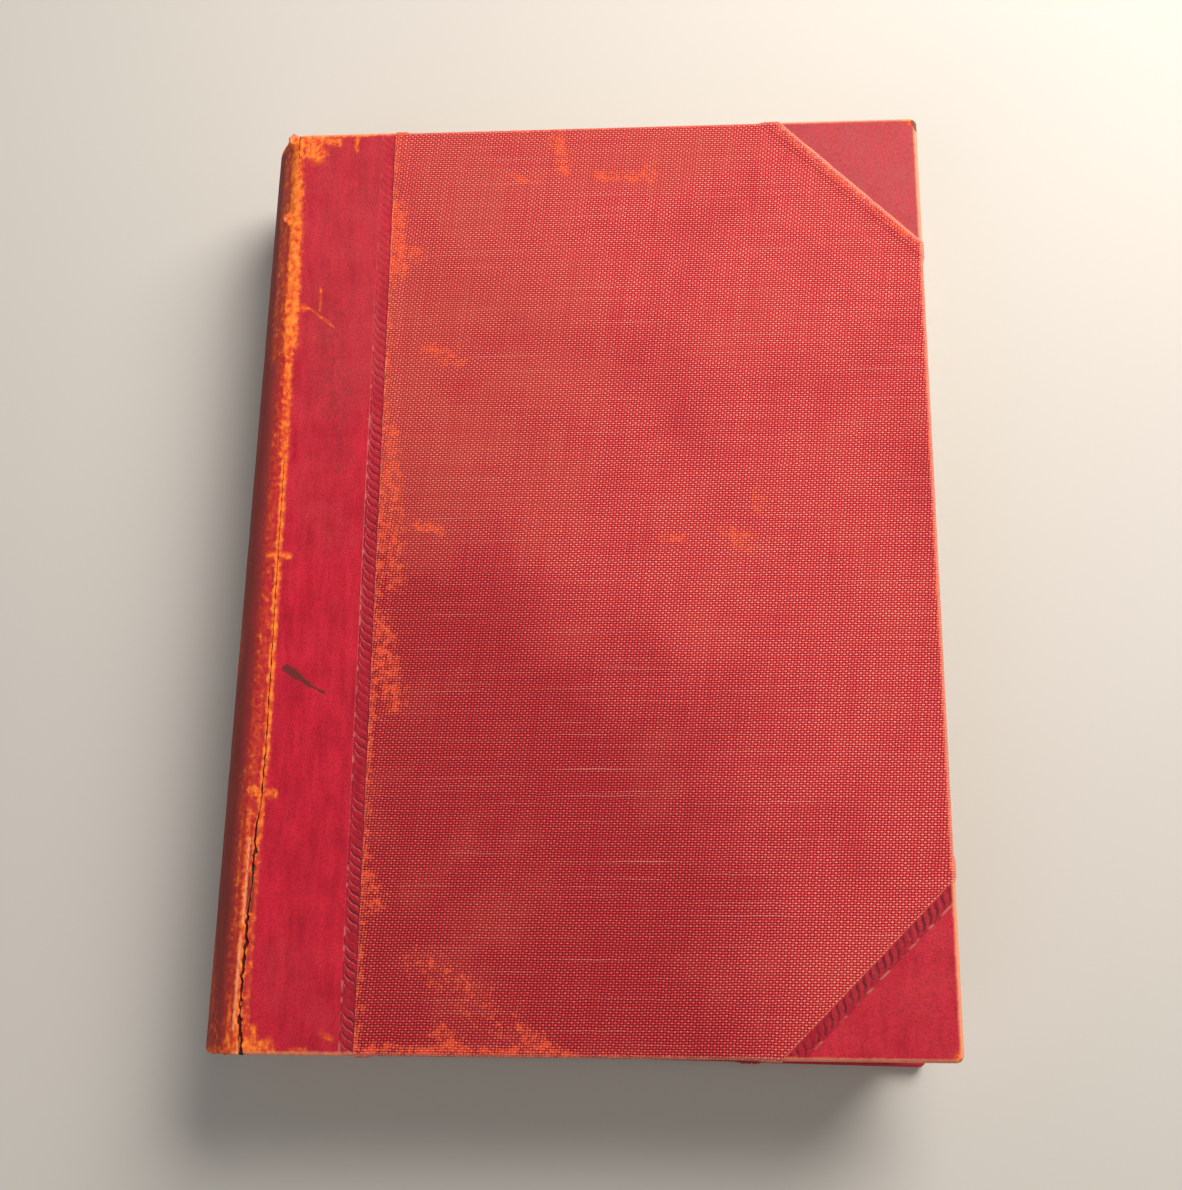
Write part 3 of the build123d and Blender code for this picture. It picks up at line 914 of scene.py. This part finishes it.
def leather_skin(columns, place, board_from):
    """A closed skin of leather from its columns. Beyond board_from it folds over the board."""
    bm = bmesh.new()
    flat = bm.verts.layers.float_vector.new("flat_mm")
    roll = bm.verts.layers.float_vector.new("roll_mm")
    split = bm.verts.layers.float.new("split")
    straight = lines(0, 2 * (spine_end - END_ROUND), ROW_STEP)
    # Rows as (end, step round the end), or as (0, distance) on the straight between the ends.
    order = [(1, k) for k in reversed(range(11))] + [(0, t) for t in straight[1:-1]]
    order += [(-1, k) for k in range(11)]
    faces = {"outer": [], "inner": []}
    for end, k in order:
        level = {1: END_ROUND, -1: 2 * spine_end - END_ROUND, 0: END_ROUND + k}[end]
        t = level - leather_thickness
        for face in faces.values():
            face.append([])
        for sigma, press, share in columns(t):
            board = smooth_step(board_from - 0.8, board_from + 0.4, sigma)
            shoulder = smooth_step(*CAP_HALF, abs(sigma + lip_width(half_height - t) + arc_length / 2))
            fold = CAP_FOLD - CAP_DROP * (shoulder if sigma < board_from else 1.0)
            fold += (board_thickness + 2 * leather_thickness - fold) * board
            thick = SPINE_LEATHER + (leather_thickness - SPINE_LEATHER) * board
            turn_in = SKIN_TURN_IN["spine"] + (SKIN_TURN_IN["board"] - SKIN_TURN_IN["spine"]) * board
            for face in ("outer", "inner"):
                outer = face == "outer"
                top, bottom = (0.0, fold) if outer else (thick, fold - leather_thickness)
                if end:
                    rounding = min(END_ROUND, fold / 2) if outer else min(0.15, (bottom - top) / 2)
                    back, depth = end_profile(top, bottom, top, rounding, turn_in)[k]
                    y = end * (spine_end - back)
                    shown = half_height - y - (depth if k > 3 else 0.0) * end
                else:
                    depth, y, shown = top, half_height - t, t
                if outer and (not end or k < 4):
                    across = strip_width - sigma
                    pressed = roll_press(shown, across) if across < 5 else 0.0
                    ripple = 0.05 * uneven(sigma, shown, 7.0, 1.0)
                    depth += press + SKIN_PRESS * pressed + ripple
                    # A scrap of leather has torn loose near the head and stands up.
                    torn = smooth_step(1.5, 0.3, abs(sigma + 2.9)) * smooth_step(2.2, 0.8, abs(shown - 24))
                    depth -= torn * (1.0 + 0.4 * uneven(sigma, shown, 0.9, 9.0))
                if end and sigma < 6:
                    # The headcap is frayed and falls away in tufts.
                    fray = smooth_step(6, -2, sigma) * (0.35 if sigma > -12 else 0.16)
                    y += end * fray * uneven(sigma, shown, 1.3, 6.0 + end)
                if shown < 4 and -6 < sigma < -0.3:
                    # One tuft stands up where the headcap meets the joint.
                    tuft = smooth_step(2.3, 0.8, abs(sigma + 2.7)) * smooth_step(3.6, 1.4, shown)
                    y += 0.6 * tuft * (0.6 + uneven(sigma, shown, 0.8, 2.0)) if end > 0 else 0.0
                    depth -= tuft * (1.1 + 0.8 * uneven(sigma, shown, 0.8, 6.0))
                made = bm.verts.new(place(sigma, y, depth))
                made[flat] = (sigma, shown, 0.0)
                on_face = outer and (not end or k < 2)
                made[roll] = (shown, strip_width - sigma if on_face else NO_ROLL, strip_firmness(shown))
                made[split] = share if outer else 0.0
                faces[face][-1].append(made)
    outer, inner = faces["outer"], faces["inner"]
    last_row, last_column = len(outer) - 1, len(outer[0]) - 1
    for i in range(last_row):
        for j in range(last_column):
            bm.faces.new((outer[i][j], outer[i][j + 1], outer[i + 1][j + 1], outer[i + 1][j]))
            bm.faces.new((inner[i][j], inner[i + 1][j], inner[i + 1][j + 1], inner[i][j + 1]))
        for j in (0, last_column):
            bm.faces.new((outer[i][j], outer[i + 1][j], inner[i + 1][j], inner[i][j]))
    for i in (0, last_row):
        for j in range(last_column):
            bm.faces.new((outer[i][j], inner[i][j], inner[i][j + 1], outer[i][j + 1]))
    return bm


# %% The wear of the front joint and the spine
front_leather_rubs = [
    # Headcap, board corner and the edge along the head
    (-4, 0, 0, 3, 2.2, 0.97), (1.5, 1, 5, 6, 3.0, 0.84), (6, 0, 24, -0.5, 1.1, 0.84),
    (4, 1, 9, 2, 1.8, 0.72), (15.4, 0, 15.4, 5, 0.7, 0.82), (11, 0, 11, 3, 0.8, 0.77),
    (20, -1, 25, -1, 1.6, 0.72),
    # The joint's bright stripe, then its thinner run down to the tail
    (-0.9, 4, -0.1, 26, 2.5, 1.0), (0.2, 24, 0.8, 60, 2.3, 0.95), (0.7, 60, 1.2, 90, 1.5, 0.8),
    (1.4, 85, 1.5, 168, 1.0, 0.88), (1.3, 165, 1.0, 186, 1.0, 0.85), (1.0, 186, 0.7, 236, 0.8, 0.62),
    (-1.5, 50, -1.5, 180, 2.6, 0.48), (-1.6, 180, -1.7, 212, 0.8, 0.85), (-3.5, 170, -3.8, 236, 2.4, 0.48),
    (-4.2, 5, -3.8, 62, 3.4, 0.6), (-1.9, 210, -1.4, 236, 0.9, 0.9), (-3.6, 222, -3.0, 236, 0.7, 0.8),
    (-3.4, 180, -3.9, 206, 0.4, 0.7),
    # Flares where the cords pass under the leather
    (-0.5, 49.5, 3.0, 50, 1.7, 0.84), (-1, 116.2, 4, 116.6, 1.1, 0.84), (-2, 174.5, 3.6, 175.4, 1.5, 0.84),
    (-3.2, 24, -1.6, 24, 1.5, 0.92),
    # Scuffs and spots
    (3.9, 49, 12, 55.4, 0.45, 0.82), (8.0, 51, 8.2, 44.5, 0.45, 0.77), (7.3, 58.4, 7.3, 58.5, 0.7, 0.72),
    (-1.7, 137, -1.6, 137.5, 0.9, 0.77), (1, 233, 6, 233, 2.2, 0.84), (2, 229, 2.5, 233, 1.5, 0.77),
    (6, 235, 24, 235, 0.9, 0.77), (18.5, 230, 21, 231, 0.8, 0.72), (12, 234, 14, 234, 1.4, 0.72),
    # Down the spine: the caps and the rear joint
    (-44, 0, -4, 0, 2.2, 0.72), (-44, 235, -4, 235, 2.4, 0.72), (-41, 0, -44, 235, 1.4, 0.72),
    (-30, 100, -14, 140, 6.0, 0.42), (-24, 196, -10, 230, 5.0, 0.46),
]
# The torn lips of the crack show bare fibre.
crack_lips = [
    (a[1], a[0], b[1], b[0], 0.35 + a[2] / 2, 0.85) for a, b in zip(crack_points, crack_points[1:]) if a[2]
]
# Lifted tufts and flakes have a painted highlight on their tips, where their raised edges would catch the
# light.
tip_highlights = [
    (-3.2, -1, -2.2, 1.2, 0.8, 0.7), (-3.4, 23.6, -2.6, 24.3, 0.5, 0.8), (-1.1, 186, -1.4, 205, 0.3, 0.85),
    (-1.7, 208, -2.1, 229, 0.35, 0.9), (-0.2, 231, -0.9, 236, 0.4, 0.6),
]
# The front strip's paler, duller red: partly lost colour, and partly painted sheen near the head.
front_leather_faded = [
    (14, 0, 14, 70, 14.0, 0.45), (10, 60, 12, 110, 9.0, 0.3), (8, 215, 18, 232, 9.0, 0.25),
]
front_leather_stains = [
    (5.2, 144.9, 7.6, 146.6, 1.3, 0.95), (7.6, 146.6, 11, 148.9, 0.8, 0.9),
    (11, 148.9, 14.8, 151, 0.45, 0.9), (15.4, 93.5, 15.6, 95, 0.7, 0.5), (10, 50, 16, 92, 6.0, 0.45),
    (0.0, 195, 0.0, 202, 1.1, 0.7), (-3.2, 60, -3.2, 232, 1.3, 0.42), (-3.4, 8, -3.4, 60, 1.0, 0.35),
    (-26, 20, -22, 210, 12.0, 0.25),
]
rear_leather_rubs = [
    (0.6, 0, 0.8, 235, 1.6, 0.73), (0, 0, 24, -1, 1.2, 0.7), (0, 235, 24, 236, 1.2, 0.7),
    (1, 48, 3.4, 50, 1.6, 0.75), (1, 116, 3.6, 117, 1.4, 0.75), (1, 175, 3.6, 175, 1.4, 0.75),
    (12, 180, 17, 186, 0.7, 0.65), (18, 60, 20, 61, 0.8, 0.6),
]

# %% Make both skins
BEND_MM = 1.5  # how far from its joint the leather has turned with the cover
skin = leather_skin(front_columns, spine_place, 0.5)
spine_skin = make_piece("spine_and_front_joint_leather", skin, spine_finish)
set_wear(spine_skin.data, rubbed=front_leather_rubs + crack_lips, stained=front_leather_stains,
         handled=board_edges + tip_highlights, faded=front_leather_faded)
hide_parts("spine_leather", "front_leather_strip")
bend_end = front_frame @ Vector((BEND_MM, 0, 0))
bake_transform(spine_skin, "leaves", "front_cover", start=front_joint * MM,
         end=Vector((bend_end.x, bend_end.y, front_joint.z)) * MM)

skin = leather_skin(rear_columns, rear_place, -1.0)
rear_skin = make_piece("rear_joint_leather", skin, rear_finish)
set_wear(rear_skin.data, rubbed=rear_leather_rubs, handled=board_edges)
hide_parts("rear_leather_strip")
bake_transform(rear_skin, "leaves", "rear_cover", start=rear_joint * MM,
         end=(rear_joint + Vector((BEND_MM, 0, 0))) * MM)

# %% [markdown]
# ## The leaves
# Some four hundred leaves of machine-made paper, sewn in sections, rounded at the back and trimmed. Their
# edges are what shows: fine lines with a step wherever a section stands out. The block is built up in
# levels, and each level stands in or out by a hair.

# %% Paper finishes
LEAF_MM = 0.26  # about three real leaves, so that the lines show
SECTION_MM = 1.7


def paper_material(name, edge_lines, light, dark):
    """Old wove paper, toned brown at its edges, with the lines of stacked leaves where asked."""
    material, put = new_material(name)
    place = object_mm(put)
    tone = fractal(place, 0.05, 6.0, 0.65)
    colour = mix(ramp(tone, 0.35, 0.65), dark, light)
    height = fractal(place, 1.4, 4.0) * 0.3
    if edge_lines:
        leaf = fractal(place * (0.05, 0.05, 1 / LEAF_MM), 1.0, 2.0)
        section = fractal(place * (0.012, 0.012, 1 / SECTION_MM), 1.0, 1.0)
        colour = mix(ramp(leaf, 0.5, 0.3, end=0.75), colour, "#7A5E3C")
        colour = mix(ramp(section, 0.4, 0.7, end=0.45), colour, "#B08D5E")
        height = leaf + height
    finish_material(put, colour, 0.85, height, 0.08, IOR=1.45)
    return material


leaf_finish = paper_material("leaf_edges", True, "#E6DABD", "#D5C39B")
endpaper_finish = paper_material("endpaper", False, "#DFD4B8", "#D3C6A3")

# %% Build the block of leaves
LEVEL_STEP = 0.3
TAIL_POINTS, SIDE_POINTS = 22, 26  # points along an end and along a side of each level
back_rise = rear_joint.x - leaves_low.x
back_half = (leaves_high.z - leaves_low.z) / 2
back_radius = (back_half**2 + back_rise**2) / (2 * back_rise)
SHOULDER = 2.55  # the height at top and bottom where the back is rounded but no page shows
leaves_half = back_half - SHOULDER
leaves_length = leaves_high.y - leaves_low.y
leaves_width = leaves_high.x - rear_joint.x
FORE_HOLLOW = 4.5
hollow_radius = (leaves_half**2 + FORE_HOLLOW**2) / (2 * FORE_HOLLOW)
middle_y = (leaves_high.y + leaves_low.y) / 2


def level_outline(z, narrow, number):
    """The outline of one level of leaves, seen from above, in millimetres."""
    back = rear_joint.x + (back_radius - back_rise) - sqrt(max(0.0, back_radius**2 - z**2))
    if narrow:
        fore = rear_joint.x - 0.05
    else:
        sag = sqrt(hollow_radius**2 - z**2) - (hollow_radius - FORE_HOLLOW)
        fore = rear_joint.x + leaves_width - sag
    back = min(back, fore - 0.1)
    section = 0.16 * uneven(z, 0, SECTION_MM, 2.0) + 0.035 * (-1) ** number - 0.12
    half = leaves_length / 2 + section
    fore += 0.0 if narrow else section
    made = []
    for start, stop, edge, seed in ((back, fore, -half, 1.0), (fore, back, half, 3.0)):
        for i in range(TAIL_POINTS):
            x = start + (stop - start) * i / TAIL_POINTS
            made.append((x, middle_y + edge + 0.05 * uneven(x, z, 9, seed)))
        for i in range(SIDE_POINTS):
            y = middle_y + edge - 2 * edge * i / SIDE_POINTS
            waver = 0.06 * uneven(y, z, 14, 2.0) - 0.06 if stop is fore else 0.0
            made.append((stop + waver, y))
    return made


bm = bmesh.new()
count = round(2 * leaves_half / LEVEL_STEP)
levels = [(-back_half + 0.12, True), (-back_half + 1.3, True), (-leaves_half, True)]
levels += [(-leaves_half + 2 * leaves_half * i / count, False) for i in range(count + 1)]
levels += [(leaves_half, True), (back_half - 1.3, True), (back_half - 0.12, True)]
rings = []
for number, (z, narrow) in enumerate(levels):
    outline = level_outline(z, narrow, number)
    rings.append([bm.verts.new((x, y, z + spine_middle)) for x, y in outline])
join_rings(bm, rings)
leaves = make_piece("leaves", bm, leaf_finish)
# The first and the last page are plain paper.
leaves.data.materials.append(endpaper_finish)
for face in leaves.data.polygons:
    face.material_index = int(abs(face.normal.z) > 0.9)
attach(leaves, "leaves")
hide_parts("text_block")

# %% [markdown]
# ## The endbands
# A short cord at head and tail of the back, wound with thread in two colours. It fills the gap between the
# leaves and the headcap. The winding is real shape: the cord swells under each turn of thread.

# %% Endbands
THREAD_MM = 0.9
THREADS_A_COLOUR = 3
THREAD_STEPS = 4  # rings of points to each turn of thread
BAND_SIDES = 12
BAND_DEPTH = 1.8


def thread_material():
    """Cotton thread, mercerised, so a little shiny along the winding."""
    material, put = new_material("endband_thread")
    turn = stored(put, "thread") * (1 / (2 * THREADS_A_COLOUR))
    colour = mix(maths("LESS_THAN", maths("FRACT", turn), 0.5), "#D9C79C", "#93262C")
    dust = fractal(object_mm(put), 0.8, 5.0)
    colour = mix(ramp(dust, 0.4, 0.7, end=0.5), colour, "#8A6B4C")
    finish_material(put, colour, 0.6, dust, 0.05, IOR=1.5)
    return material


band_finish = thread_material()


def make_endband(node, body_name):
    """Thread wound round a flat cord that follows the back of the leaves."""
    low, high = box_mm(node)
    centre = rear_joint.x - back_rise + back_radius
    limit = asin((high.z - low.z) / 2 / back_radius)
    steps = round(2 * limit * back_radius / THREAD_MM) * THREAD_STEPS
    bm = bmesh.new()
    thread = bm.verts.layers.float.new("thread")
    rings = []
    for i in range(steps + 1):
        angle = -limit + 2 * limit * i / steps
        swell = 0.93 + 0.07 * abs(sin(pi * i / THREAD_STEPS))
        ring = []
        for k in range(BAND_SIDES):
            turn = 2 * pi * k / BAND_SIDES
            radius = back_radius - BAND_DEPTH / 2 + BAND_DEPTH / 2 * swell * cos(turn)
            y = (low.y + high.y) / 2 + (high.y - low.y) / 2 * swell * sin(turn)
            made = bm.verts.new((centre - radius * cos(angle), y, spine_middle + radius * sin(angle)))
            made[thread] = i / THREAD_STEPS
            ring.append(made)
        rings.append(ring)
    join_rings(bm, rings)
    band = make_piece(body_name, bm, band_finish)
    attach(band, "leaves")
    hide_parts(node)


make_endband("head_band", "head_endband")
make_endband("tail_band", "tail_endband")

# %% [markdown]
# ## Finishes for the pieces that keep their CAD shape
# The boards, the pastedowns, the spine's lining and its stiffener are flat stock, so their CAD shape is
# right as it is. Millboard is grey-brown and fibrous, mull is an open cotton net stiff with glue, and the
# stiffener is brown wrapping paper.


# %% Board, mull and wrapping paper
def stock_material(name, light, dark, fibre, weave_mm=0.0):
    """Fibrous sheet stock, with an open weave where weave_mm isn't 0."""
    material, put = new_material(name)
    place = object_mm(put)
    height = fractal(place, fibre, 6.0, 0.7)
    shade = ramp(height, 0.35, 0.65)
    if weave_mm:
        threads = [abs(maths("SINE", place[i] * (pi / weave_mm))) for i in (1, 2)]
        height = maths("MAXIMUM", *threads)
        shade = ramp(height, 0.75, 0.95)
    colour = mix(shade, dark, light)
    finish_material(put, colour, 0.9, height, 0.1, IOR=1.45)
    return material


board_finish = stock_material("millboard", "#9A8768", "#6F6048", 0.8)
mull_finish = stock_material("glued_mull", "#CDBB92", "#8E744A", 1.2, 1.6)
wrapper_finish = stock_material("brown_wrapping_paper", "#A4804F", "#86663B", 0.9)
kept_nodes = {
    "front_board": board_finish,
    "rear_board": board_finish,
    "front_pastedown": endpaper_finish,
    "rear_pastedown": endpaper_finish,
    "spine_lining": mull_finish,
    "spine_stiffener": wrapper_finish,
}
for name, finish in kept_nodes.items():
    mesh = frame["nodes"][name].data
    mesh.materials.clear()
    mesh.materials.append(finish)
print("kept CAD nodes", sorted(kept_nodes))

# %% [markdown]
# ## Floor, light and camera
# A pale, even floor shows the book's outline and its soft shadow. One large lamp stands beyond the
# fore-edge at the head, low enough to graze the weave, and a weaker one fills from the other side.

# %% Floor
FLOOR_SIZE = 6.0
FLOOR_DROP = 0.0001  # the rear cloth's lap ends at the very bottom of the book
bm = bmesh.new()
bmesh.ops.create_grid(bm, x_segments=1, y_segments=1, size=FLOOR_SIZE / 2)
floor_mesh = bpy.data.meshes.new("floor")
bm.to_mesh(floor_mesh)
bm.free()
floor = bpy.data.objects.new("floor", floor_mesh)
floor.location.z = -FLOOR_DROP
bpy.context.scene.collection.objects.link(floor)
material, put = new_material("pale_floor")
speckle = fractal(put("TexCoord", output="Object"), 6.0, 3.0)
colour = mix(speckle, "#C3C0BB", "#C9C6C1")
finish_material(put, colour, 0.8, speckle, 0.01)
floor_mesh.materials.append(material)
floor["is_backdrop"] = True


# %% Lamps and sky
def add_lamp(name, place, size, power, colour):
    """A square area lamp aimed at the book."""
    lamp = bpy.data.lights.new(name, "AREA")
    lamp.size = size
    lamp.energy = power
    lamp.color = hex_colour(colour)[:3]
    lit = bpy.data.objects.new(name, lamp)
    lit.location = place
    lit.visible_camera = False
    lit.rotation_euler = (-Vector(place)).to_track_quat("-Z", "Y").to_euler()
    bpy.context.scene.collection.objects.link(lit)


add_lamp("key_lamp", (0.34, 0.46, 0.55), 0.5, 9.7, "#FFF7EE")
add_lamp("fill_lamp", (-0.45, -0.7, 0.8), 0.9, 2.2, "#FFFFFF")
scene = bpy.context.scene
scene.view_settings.view_transform = "Standard"
# The sky is pale at the horizon and dim overhead, where a flat cover would mirror it.
world = bpy.data.worlds.new("soft_sky")
world.use_nodes = True
put = partial(add_node, world.node_tree)
level = ramp(put("TexCoord")[2], high=0.6, start=0.56, end=0.2)
background = world.node_tree.nodes["Background"]
background.inputs["Color"].default_value = hex_colour("#F2EFEA")
world.node_tree.links.new(level.socket, background.inputs["Strength"])
scene.world = world

# %% Camera
# The lens, and the camera's place and turn over the middle of the front board, in the cover's own axes.
LENS = 45.4
CAMERA_OFFSET = Vector((21.1, -101.4, 350.5))
CAMERA_TURN = (14.597, 3.664, 0.493)
camera = bpy.data.objects.new("camera", bpy.data.cameras.new("camera"))
camera.data.lens = LENS
camera.data.clip_start = 0.01
board_middle = Vector((board_width / 2, 0, leather_top + cloth_thickness))
turn = Matrix.Rotation(twist, 4, "Z") @ Euler([radians(a) for a in CAMERA_TURN]).to_matrix().to_4x4()
stand = front_frame @ (board_middle + CAMERA_OFFSET)
camera.matrix_world = Matrix.Translation(stand * MM) @ turn
scene.collection.objects.link(camera)
scene.camera = camera

# %% Sizes for the record
visual_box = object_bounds()
print("CAD box", [round(v / MM, 1) for v in cad_box[1] - cad_box[0]],
      "visual", [round(v / MM, 1) for v in visual_box[1] - visual_box[0]])
